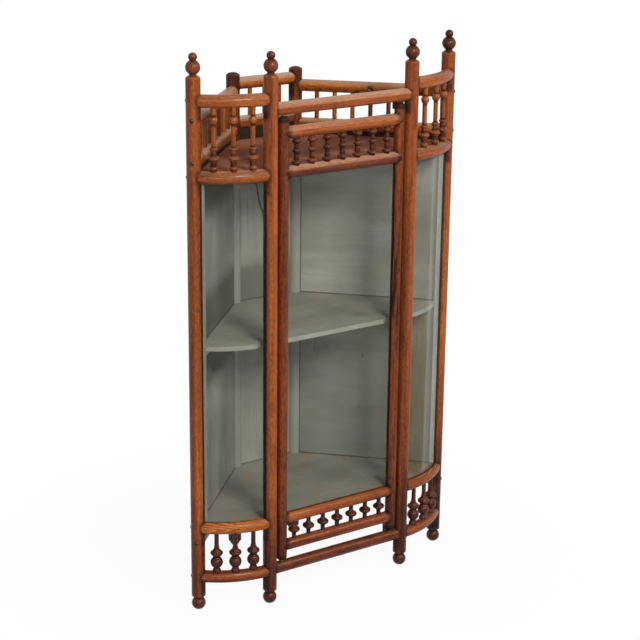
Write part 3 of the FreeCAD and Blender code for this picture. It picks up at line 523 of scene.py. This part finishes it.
def stile_grime_and_shade(finish):
    """Dirt at the door rails' joints and on the stiles' ends, painted shade on a stile's side behind the
    glass, and the mark that hands left on the meeting stile."""
    joints = near_heights(finish, DOOR_RAILS, 0.02)*(DOOR_HALF - abs(finish.x)).rise(0.0, 0.009)
    ends = abs(finish.z - STILE_MIDDLE).rise(0.446, 0.4575)
    hands = near_heights(finish, (0.63,), 0.19)*finish.x.rise(0.1425, 0.134)*finish.x.rise(0.0, 0.01)
    worn = finish.drawn_out(finish.x*130, finish.y*130, finish.z*11, 3).rise(0.46, 0.6)
    # Painted shade on the stile's side behind the door glass
    line = behind_glass(finish, DOOR_HALF, FRONT_Y, (-1, 0), (0, 1))
    return joints.most(ends*1.6).most(hands*worn*1.5).most(line*4)


def door_spindle_radius(finish):
    """The distance to the axis of the nearest door spindle."""
    aside = finish.x.repeat(SPINDLE_PITCH)
    ahead = finish.y - FRONT_Y
    return (aside*aside + ahead*ahead)**0.5


def bay_spindle_radius(side):
    """The distance to the axis of the nearest spindle of a bay."""
    sign = SIGNS[side]

    def radius(finish):
        aside = finish.x*sign - FRONT_HALF
        ahead = BAY_CENTRE_Y - finish.y
        along = aside.math("ARCTAN2", ahead).repeat(BAY_TURN/4)*BAY_RADIUS
        out = (aside*aside + ahead*ahead)**0.5 - BAY_RADIUS
        return (along*along + out*out)**0.5
    return radius


def in_necks(radius, wide, narrow, foot, necks):
    """Dirt and painted shade in a turning's necks, inside its narrow radius and none outside its wide one."""
    def grime_and_shade(finish):
        rings = [near_heights(finish, (foot + height,), reach) for height, reach in necks]
        dirt_and_shade = rings[0]
        for ring in rings[1:]:
            dirt_and_shade = dirt_and_shade.most(ring)
        return dirt_and_shade*radius(finish).rise(wide, narrow)*0.85
    return grime_and_shade


# Paint, bare board, glass and metal

def board_lines(finish):
    """1 in the thin dark lines where the walls meet the boards."""
    return near_heights(finish, (SHELF + 0.0006, FLOOR_BOARD + 0.0006), 0.0022)


def joint_lines(finish):
    """The same, and where a side wall meets its rear post."""
    return board_lines(finish).most(axis_distance(finish, *POST_AXES["rear"]).rise(*WALL_JOINT))


def board_edges(finish):
    """1 in the dirt that lies on a board along the back walls."""
    gap = (OUTER_X + OUTER_Y - abs(finish.x) - finish.y)*HALF_ROOT - 0.004
    return gap.least(REAR_Y - 0.004 - finish.y).rise(0.0032, 0.001)


def paint(name, run, brushed=0.3, dust=0.0, marks=None, low=0.0, shade_all_over=0.0, under=0.0, warm=0.0):
    """Old grey-green brush paint on board. marks takes the finish and gives a field of dark lines; a board
    with marks is bare on the side that looks backward. low is painted shade that darkens the paint below the
    shelf, under is the same close under each board and painted light where it is below 0, and shade_all_over
    is painted shade all over. warm darkens the right end with painted shade and yellows it with stain."""
    finish = Finish(name)
    across, depth, along = run(finish)
    below_shelf = (SHELF - finish.z).rise(0.0, 0.03)
    brush = finish.drawn_out(across*480, depth*480, along*8, 5, 0.68)
    wide = finish.drawn_out(across*14, depth*14, along*5, 4, 0.6)
    blotch = finish.noise(finish.place, 11, 5, 0.66)
    fleck = finish.noise(finish.place, 520, 3, 0.65).rise(0.66, 0.74)
    colour = finish.blend(wide.rise(0.3, 0.7), PAINT_DARK, PAINT_PALE)
    colour = finish.blend(brush.rise(0.45, 0.72)*brushed, colour, BRUSH_LINE)
    colour = finish.blend(blotch.rise(0.52, 0.7)*0.4, colour, PAINT_WARM)
    colour = finish.blend(blotch.rise(0.46, 0.3)*0.35, colour, PAINT_COOL)
    colour = finish.blend(fleck*0.5, colour, FLECK)
    # Painted shade: below the shelf, close under the boards and all over
    shade = below_shelf*low + shade_all_over
    if under:
        shade = shade + near_heights(finish, (TOP_BOARD - 0.01, SHELF - 0.01), 0.12)*under
    # Painted shade at the right end
    if warm:
        right_end = finish.x.rise(0.2, 0.24)*warm
        shade = shade + right_end*0.28
    colour = finish.blend(shade, colour, SHADE_TONE)
    if warm:
        yellowed = right_end*(below_shelf*0.6 + 0.4)
        runs = finish.drawn_out(finish.x*70, finish.y*70, finish.z*16, 5, 0.7).rise(0.42, 0.68)
        colour = finish.blend(yellowed*(runs*0.6 + 0.6), colour, YELLOWED)
    if dust:
        drift = finish.noise(finish.place, 24, 5, 0.7).rise(0.45, 0.7)
        colour = finish.blend(drift*dust, colour, DRIFT)
    if marks is not None:
        colour = finish.blend(marks(finish)*(blotch*1.2 + 0.2).least(1.0), colour, MARK)
    # Above the top board the panel is near-black: bare wood with painted shade
    colour = finish.blend((finish.z - TOP_BOARD).rise(-0.002, 0.0), colour, ABOVE_BOARD)
    if marks is not None:
        bare = finish.blend(brush.rise(0.35, 0.7), BACK_PALE, BACK_DARK)
        colour = finish.blend(finish.backward.rise(0.4, 0.6), colour, bare)
    height = brush*0.6 + blotch*0.4
    shader = finish.surface(Base_Color=colour, Roughness=0.55 + blotch*0.2, Specular_IOR_Level=0.2,
                            Normal=finish.bump(height, RELIEF, RELIEF_SHARE))
    return finish.done(shader)


def bare_board(name):
    """Unvarnished board that has gathered dust."""
    finish = Finish(name)
    grain = finish.drawn_out(finish.x*22, finish.y*300, finish.z*300, 4, 0.66)
    mottle = finish.noise(finish.place, 230, 5, 0.75)
    wide = finish.drawn_out(finish.x*8, finish.y*16, finish.z, 4)
    colour = finish.blend(wide.rise(0.32, 0.68), BOARD_DARK, BOARD_PALE)
    colour = finish.blend(grain.rise(0.45, 0.7)*0.5, colour, BOARD_GRAIN)
    colour = finish.blend(mottle.rise(0.54, 0.68)*0.6, colour, BOARD_DUST)
    colour = finish.blend(mottle.rise(0.45, 0.34)*0.6, colour, BOARD_STAIN)
    colour = finish.blend(board_edges(finish), colour, BOARD_EDGE)
    shader = finish.surface(Base_Color=colour, Roughness=0.74 + mottle*0.15, Specular_IOR_Level=0.2,
                            Normal=finish.bump(grain + mottle, 0.0004, 0.6))
    return finish.done(shader)


def glass(name, haze):
    """Thin old glass: clear, with a share of gloss that grows at a glance and with its dust."""
    finish = Finish(name)
    film = finish.drawn_out(finish.x*7, finish.y*7, finish.z*12, 5, 0.62)
    ripple = finish.drawn_out(finish.x*9, finish.y*9, finish.z*3)
    glance = finish.add("ShaderNodeLayerWeight", None, {"Blend": 0.12}).outputs["Fresnel"]
    share = Field(finish, glance)*0.2 + film.rise(0.45, 0.8)*haze + haze*0.4
    gloss = finish.surface(Base_Color=GLOSS, Roughness=0.07, Specular_IOR_Level=0.6,
                           Normal=finish.bump(ripple, 0.0015, 0.4))
    clear = finish.add("ShaderNodeBsdfTransparent", None, {"Color": CLEAR}).outputs[0]
    mixed = finish.add("ShaderNodeMixShader", None, {0: share, 1: clear, 2: gloss}).outputs[0]
    return finish.done(mixed)


def metal(name, bare, stain, rough, shine):
    """Worn metal, with stain in patches."""
    finish = Finish(name)
    patch = finish.noise(finish.place, 700, 4, 0.65)
    colour = finish.blend(patch.rise(0.4, 0.65), bare, stain)
    shader = finish.surface(Base_Color=colour, Roughness=rough + patch*0.25,
                            Metallic=patch.rise(0.7, 0.45)*shine, Normal=finish.bump(patch, 0.0001, 0.5))
    return finish.done(shader)


def dress(material, *names):
    """Gives a material to every slot of some nodes."""
    for name in names:
        for slot in nodes[name].material_slots:
            slot.material = material


def bay_stain(finish):
    """A bay's spindles are darkest in the apron and in the turned foot of the gallery."""
    return finish.z.rise(0.967, 0.962)*0.2 + finish.z.rise(0.6, 0.5)*0.22 + 0.28


def post_stain(base):
    """Posts are darker at their feet and their finials, and on the right."""
    def stain(finish):
        top = finish.x.rise(0.1, 0.2)*0.25 + finish.z.rise(TOP_BALL, TOP_BALL + 0.01)*0.2 + 0.25
        foot = finish.z.rise(0.3, 0.08)*0.28
        return finial(finish)*top + foot + finish.x.rise(0.22, 0.28)*0.14 + base
    return stain


def rear_stain(finish):
    """Rear posts are darkest at their tops."""
    return finish.z.rise(0.98, 1.045)*0.5 + 0.56


for kind, seed, stain in (("outer", 3.1, post_stain(0.24)), ("inner", 5.4, post_stain(0.36)),
                          ("rear", 7.7, rear_stain)):
    post_oak = oak(kind + "_post_oak", upright_run, seed, grime_and_shade=post_grime_and_shade(kind), painted=kind == "rear",
                   deep=stain, ends=turned_ends, banded=0.8)
    dress(post_oak, "left_%s_post" % kind, "right_%s_post" % kind)

dress(oak("front_rail_oak", level_run, seed=1.7, grime_and_shade=rail_grime, deep=0.3, dust_and_sheen=0.9), "front_cornice_rail")
dress(oak("apron_rail_oak", level_run, seed=6.4, grime_and_shade=rail_grime, deep=0.42), "front_apron_rail")
dress(oak("centre_rail_oak", level_run, seed=4.9, grime_and_shade=rail_grime, deep=0.2, dust_and_sheen=1.5),
      "centre_back_top_rail", "centre_back_gallery_rail", "centre_back_foot_rail")
for side, stain in (("left", -0.1), ("right", 0.3)):
    wall_oak = oak(side + "_wall_oak", wall_run(side), seed=2.4, grime_and_shade=wall_rail_grime, deep=-0.1, dust_and_sheen=0.9)
    dress(wall_oak, *["%s_back_%s_rail" % (side, part) for part in ("top", "gallery", "foot")])
    bay_oak = oak(side + "_bay_oak", bay_run(side), seed=5.3, grime_and_shade=rail_grime, deep=0.24, dust_and_sheen=0.25)
    dress(bay_oak, *["%s_bay_%s_rail" % (side, part) for part in ("cornice", "gallery", "apron")])
    sill_oak = oak(side + "_sill_oak", bay_run(side), seed=7.3, grime_and_shade=rail_grime, deep=stain, arched=0.11)
    dress(sill_oak, side + "_bay_sill_rail")
    neck_dirt_and_shade = in_necks(bay_spindle_radius(side), 0.0082, 0.0062, GALLERY_FOOT, GALLERY_NECKS)
    turned = oak(side + "_spindle_oak", upright_run, seed=6.1, grime_and_shade=neck_dirt_and_shade, deep=bay_stain, fine=1.6,
                 shine=0.12, banded=0.4)
    dress(turned, side + "_gallery_spindles", side + "_apron_spindles")
dress(oak("dowel_oak", upright_run, seed=7.7, deep=0.2), "left_back_dowels", "centre_back_dowels",
      "right_back_dowels")
dress(oak("hinge_stile_oak", upright_run, seed=8.2, grime_and_shade=stile_grime_and_shade, deep=0.5, banded=0.5),
      "door_hinge_stile")
dress(oak("meeting_stile_oak", upright_run, seed=3.7, grime_and_shade=stile_grime_and_shade, deep=0.62, banded=0.7),
      "door_meeting_stile")
dress(oak("door_rail_oak", level_run, seed=9.4, grime_and_shade=door_grime, deep=0.2, dust_and_sheen=0.5), "door_top_rail",
      "door_sill_rail")
dress(oak("door_foot_oak", level_run, seed=5.8, grime_and_shade=door_grime, deep=0.3, dust_and_sheen=0.7), "door_frieze_rail",
      "door_bottom_rail")
neck_dirt_and_shade = in_necks(door_spindle_radius, 0.0072, 0.0058, FRIEZE_FOOT, FRIEZE_NECKS)
dress(oak("door_spindle_oak", upright_run, seed=2.9, grime_and_shade=neck_dirt_and_shade, deep=0.88, fine=1.6, shine=0.12,
          banded=0.4), "door_frieze_spindles", "door_apron_spindles")
dress(oak("stop_oak", level_run, seed=3.3, deep=0.9), "door_stops")


def wall_board(side, brush):
    """A side wall's coordinates, with the brush drawn level or upright."""
    def run(finish):
        across, height, along = wall_run(side)(finish)
        return (height, across, along) if brush == "level" else (along, across, height)
    return run


def crack(finish):
    """The crack in the middle board, by the left post."""
    wobble = finish.drawn_out(0.0, 0.0, finish.z*38, 3)*0.012
    path = finish.x - CRACK_FOOT[0] + (finish.z - CRACK_FOOT[1])*CRACK_LEAN + wobble - 0.006
    return abs(path).rise(0.0026, 0.0008)*near_heights(finish, (CRACK_FOOT[1] + 0.01,), 0.085)*3


def centre_marks(finish):
    """The crack and the boards' lines, and thin runs high on the middle board."""
    runs = finish.drawn_out(finish.x*280, 0.0, finish.z*5).rise(0.58, 0.68)*finish.z.rise(0.62, 0.8)
    return board_lines(finish).most(crack(finish)).most(runs*0.7)


def wall_marks(finish):
    """Brown knocks low on a wall, the chip and the joint lines."""
    knocks = finish.drawn_out(finish.x*40, finish.y*40, finish.z*16, 3, 0.7).rise(0.66, 0.72)
    chip = abs(finish.x - WALL_CHIP[0]).rise(0.009, 0.004)*near_heights(finish, (WALL_CHIP[1],), 0.006)*2
    return joint_lines(finish).most(knocks*finish.z.rise(0.6, 0.45)*0.55).most(chip)


# Each board's darkening below the shelf, under the boards and all over is painted shade, set board by board;
# a negative under is painted light
dress(paint("left_wall_paint", wall_board("left", "upright"), brushed=0.12, marks=wall_marks, low=0.04,
            shade_all_over=0.46, under=0.6), "left_back_panel")
dress(paint("right_wall_paint", wall_board("right", "level"), brushed=0.28, marks=wall_marks, low=0.22,
            shade_all_over=0.22, under=-0.3, warm=0.8), "right_back_panel")
dress(paint("centre_wall_paint", upright_run, brushed=0.5, marks=centre_marks, low=0.1, shade_all_over=0.22,
            under=0.6), "centre_back_panel")
dress(paint("shelf_paint", level_run, brushed=0.2, dust=0.3, marks=board_edges, shade_all_over=0.4), "shelf")
dress(paint("floor_paint", level_run, brushed=0.5, dust=0.6, marks=board_edges, low=0.52, warm=1.0),
      "floor_board", "floor_cleats")
dress(paint("cleat_paint", level_run, dust=0.1), "top_cleats", "shelf_cleats")
# The left strip is darkened with more painted shade than the right
for side, shade_all_over in (("left", 0.5), ("right", 0.1)):
    dress(paint(side + "_strip_paint", upright_run, brushed=0.1, shade_all_over=shade_all_over), side + "_glazing_strip")
dress(bare_board("dusty_board"), "top_board")
dress(glass("door_pane_glass", haze=0.02), "door_glass")
dress(glass("bay_pane_glass", haze=0.035), "left_curved_glass", "right_curved_glass")
iron = metal("blackened_iron", *IRON, rough=0.35, shine=0.9)
dress(iron, "left_post_screws", "right_post_screws", "door_pivot_pins")
dress(metal("tarnished_brass", *BRASS, rough=0.4, shine=1.0), "door_pivot_bushes", "door_pivot_washer")


# Slotted screws, one for each solid screw of the outer posts

def screw_tree(material):
    """Puts a slotted round head screw at each point, along the point's own outward direction."""
    tree = bpy.data.node_groups.new("slotted_screws", "GeometryNodeTree")
    tree.interface.new_socket("Points", in_out="INPUT", socket_type="NodeSocketGeometry")
    for label in ("Ball radius", "Head rise", "Slot width", "Slot depth", "Shank radius", "Shank length"):
        tree.interface.new_socket(label, in_out="INPUT", socket_type="NodeSocketFloat")
    tree.interface.new_socket("Screws", in_out="OUTPUT", socket_type="NodeSocketGeometry")

    def add(kind, settings=None, inputs=None):
        return add_node(tree, kind, settings, inputs)

    def sums(operation, first, second):
        return add("ShaderNodeMath", {"operation": operation}, {0: first, 1: second}).outputs[0]

    def at_height(shape, height):
        place = add("ShaderNodeCombineXYZ", None, {"Z": height}).outputs[0]
        return add("GeometryNodeTransform", None, {"Geometry": shape, "Translation": place}).outputs[0]

    def box(width, depth, height):
        size = add("ShaderNodeCombineXYZ", None, {"X": width, "Y": depth, "Z": height}).outputs[0]
        return add("GeometryNodeMeshCube", None, {"Size": size}).outputs["Mesh"]

    given = add("NodeGroupInput").outputs
    ball = add("GeometryNodeMeshUVSphere", None,
               {"Segments": 32, "Rings": 24, "Radius": given["Ball radius"]})
    ball = at_height(ball.outputs["Mesh"], sums("SUBTRACT", given["Head rise"], given["Ball radius"]))
    wide = sums("MULTIPLY", given["Ball radius"], 4.0)
    above = at_height(box(wide, wide, wide), sums("MULTIPLY", wide, 0.5))
    dome = add("GeometryNodeMeshBoolean", {"operation": "INTERSECT", "solver": "EXACT"}, {"Mesh 2": ball})
    tree.links.new(above, dome.inputs["Mesh 2"])
    cutter = box(wide, given["Slot width"], sums("MULTIPLY", given["Slot depth"], 2.0))
    slot = at_height(cutter, given["Head rise"])
    head = add("GeometryNodeMeshBoolean", {"operation": "DIFFERENCE", "solver": "EXACT"},
               {"Mesh 1": dome.outputs["Mesh"], "Mesh 2": slot})
    shank = add("GeometryNodeMeshCylinder", None,
                {"Vertices": 20, "Radius": given["Shank radius"], "Depth": given["Shank length"]})
    shank = at_height(shank.outputs["Mesh"], sums("MULTIPLY", given["Shank length"], -0.5))
    screw = add("GeometryNodeJoinGeometry")
    tree.links.new(shank, screw.inputs[0])
    tree.links.new(head.outputs["Mesh"], screw.inputs[0])
    outward = add("GeometryNodeInputNamedAttribute", {"data_type": "FLOAT_VECTOR"}, {"Name": "outward"})
    facing_out = add("FunctionNodeAlignRotationToVector", {"axis": "Z"}, {"Vector": outward.outputs[0]})
    turn = add("FunctionNodeRandomValue", {"data_type": "FLOAT"}, {"Min": 0.0, "Max": math.pi, "Seed": 5})
    turn = [socket for socket in turn.outputs if socket.enabled][0]
    spin = add("FunctionNodeAxisAngleToRotation", None, {"Axis": (0.0, 0.0, 1.0), "Angle": turn})
    turned = add("FunctionNodeRotateRotation", {"rotation_space": "LOCAL"},
                 {"Rotation": facing_out.outputs[0], "Rotate By": spin.outputs[0]})
    placed = add("GeometryNodeInstanceOnPoints", None,
                 {"Points": given["Points"], "Instance": screw.outputs[0], "Rotation": turned.outputs[0]})
    real = add("GeometryNodeRealizeInstances", None, {"Geometry": placed.outputs[0]})
    dressed = add("GeometryNodeSetMaterial", None, {"Geometry": real.outputs[0], "Material": material})
    add("NodeGroupOutput", None, {"Screws": dressed.outputs[0]})
    return tree


def post_screws(side, tree):
    """The screws of one outer post, each on the far side of a rail."""
    sign = SIGNS[side]
    spots = []
    headings = []
    for backward, heights in ((HALF_ROOT, BAY_RAILS), (-HALF_ROOT, SIDE_RAILS)):
        aside = sign*HALF_ROOT
        for height in heights:
            spots.append((sign*OUTER_X + aside*SCREW_SEAT, OUTER_Y + backward*SCREW_SEAT, height))
            headings += [aside, backward, 0.0]
    mesh = bpy.data.meshes.new(side + "_screw_points")
    mesh.from_pydata(spots, [], [])
    outward = mesh.attributes.new("outward", "FLOAT_VECTOR", "POINT")
    outward.data.foreach_set("vector", headings)
    points = bpy.data.objects.new(side + "_screw_points", mesh)
    bpy.context.scene.collection.objects.link(points)
    modifier = points.modifiers.new("screws", "NODES")
    modifier.node_group = tree
    sizes = {"Ball radius": (HEAD_RADIUS**2 + HEAD_RISE**2)/(2*HEAD_RISE), "Head rise": HEAD_RISE,
             "Slot width": SLOT_WIDTH, "Slot depth": SLOT_DEPTH, "Shank radius": SHANK_RADIUS,
             "Shank length": SHANK_LENGTH}
    for item in tree.interface.items_tree:
        if item.in_out == "INPUT" and item.name in sizes:
            modifier[item.identifier] = sizes[item.name]
    bpy.context.view_layer.update()
    made = bpy.data.meshes.new_from_object(points.evaluated_get(bpy.context.evaluated_depsgraph_get()))
    points.modifiers.remove(modifier)
    bpy.data.objects.remove(points)
    screws = bpy.data.objects.new(side + "_slotted_screws", made)
    bpy.context.scene.collection.objects.link(screws)
    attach(screws, "cabinet")
    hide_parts(side + "_post_screws")


slotted = screw_tree(iron)
for side in ("left", "right"):
    post_screws(side, slotted)


# Floor, lamps and camera

def stand():
    """A pale floor that fades into the white of the world, and keeps the cabinet's shadow."""
    mesh = bpy.data.meshes.new("studio_floor")
    corners = [(x*FLOOR_HALF, y*FLOOR_HALF, 0.0) for x, y in ((-1, -1), (1, -1), (1, 1), (-1, 1))]
    mesh.from_pydata(corners, [], [(0, 1, 2, 3)])
    floor = bpy.data.objects.new("studio_floor", mesh)
    bpy.context.scene.collection.objects.link(floor)
    finish = Finish("pale_floor")
    seen = finish.add("ShaderNodeLightPath").outputs
    looked_at = Field(finish, seen["Is Camera Ray"]).most(Field(finish, seen["Is Glossy Ray"]))
    looked_at = looked_at.most(Field(finish, seen["Is Transmission Ray"]))
    far = (finish.x*finish.x + finish.y*finish.y)**0.5
    lit = finish.add("ShaderNodeBsdfDiffuse", None, {"Color": FLOOR_GREY}).outputs[0]
    white = finish.add("ShaderNodeEmission", None, {"Color": WHITE, "Strength": 1.0}).outputs[0]
    share = looked_at*(far.rise(0.2, 0.9)*(1 - FLOOR_WHITE) + FLOOR_WHITE)
    mixed = finish.add("ShaderNodeMixShader", None, {0: share, 1: lit, 2: white}).outputs[0]
    mesh.materials.append(finish.done(mixed))


def sky():
    """A plain world: white to look at, and a soft level of light."""
    world = bpy.data.worlds.new("studio")
    bpy.context.scene.world = world
    world.use_nodes = True
    tree = world.node_tree
    tree.nodes.clear()
    path = add_node(tree, "ShaderNodeLightPath").outputs
    seen = path["Is Camera Ray"]
    for other in ("Is Transmission Ray", "Is Glossy Ray"):
        inputs = {0: seen, 1: path[other]}
        seen = add_node(tree, "ShaderNodeMath", {"operation": "MAXIMUM"}, inputs).outputs[0]
    soft = add_node(tree, "ShaderNodeBackground", None, {"Color": SKY_COLOUR, "Strength": SKY_STRENGTH})
    white = add_node(tree, "ShaderNodeBackground", None, {"Color": WHITE, "Strength": 1.0})
    mixed = add_node(tree, "ShaderNodeMixShader", None, {0: seen, 1: soft.outputs[0], 2: white.outputs[0]})
    add_node(tree, "ShaderNodeOutputWorld", None, {"Surface": mixed.outputs[0]})


def lamp(name, spot, power, colour):
    """A square soft lamp that looks at the middle of the cabinet."""
    light = bpy.data.lights.new(name, "AREA")
    light.shape = "SQUARE"
    light.size = LAMP_SIDE
    light.energy = power
    light.color = colour
    item = bpy.data.objects.new(name, light)
    item.location = spot
    item.rotation_euler = (Vector(LAMP_TARGET) - Vector(spot)).to_track_quat("-Z", "Y").to_euler()
    bpy.context.scene.collection.objects.link(item)


def look():
    """The camera, at the photograph's viewpoint."""
    azimuth = math.radians(CAMERA_AZIMUTH)
    elevation = math.radians(CAMERA_ELEVATION)
    roll = math.radians(CAMERA_ROLL)
    back = Vector((math.sin(azimuth)*math.cos(elevation), -math.cos(azimuth)*math.cos(elevation),
                   math.sin(elevation)))
    right = Vector((math.cos(azimuth), math.sin(azimuth), 0.0))
    up = back.cross(right)
    right, up = right*math.cos(roll) + up*math.sin(roll), up*math.cos(roll) - right*math.sin(roll)
    camera = bpy.data.cameras.new("camera")
    camera.lens = CAMERA_LENS
    camera.sensor_width = CAMERA_SENSOR
    item = bpy.data.objects.new("camera", camera)
    turn = Matrix((right, up, back)).transposed().to_4x4()
    item.matrix_world = Matrix.Translation(CAMERA_PLACE) @ turn
    bpy.context.scene.collection.objects.link(item)
    bpy.context.scene.camera = item


stand()
sky()
for name, (spot, power, colour) in LAMPS.items():
    lamp(name, spot, power, colour)
look()
bpy.context.scene.view_settings.view_transform = "Standard"
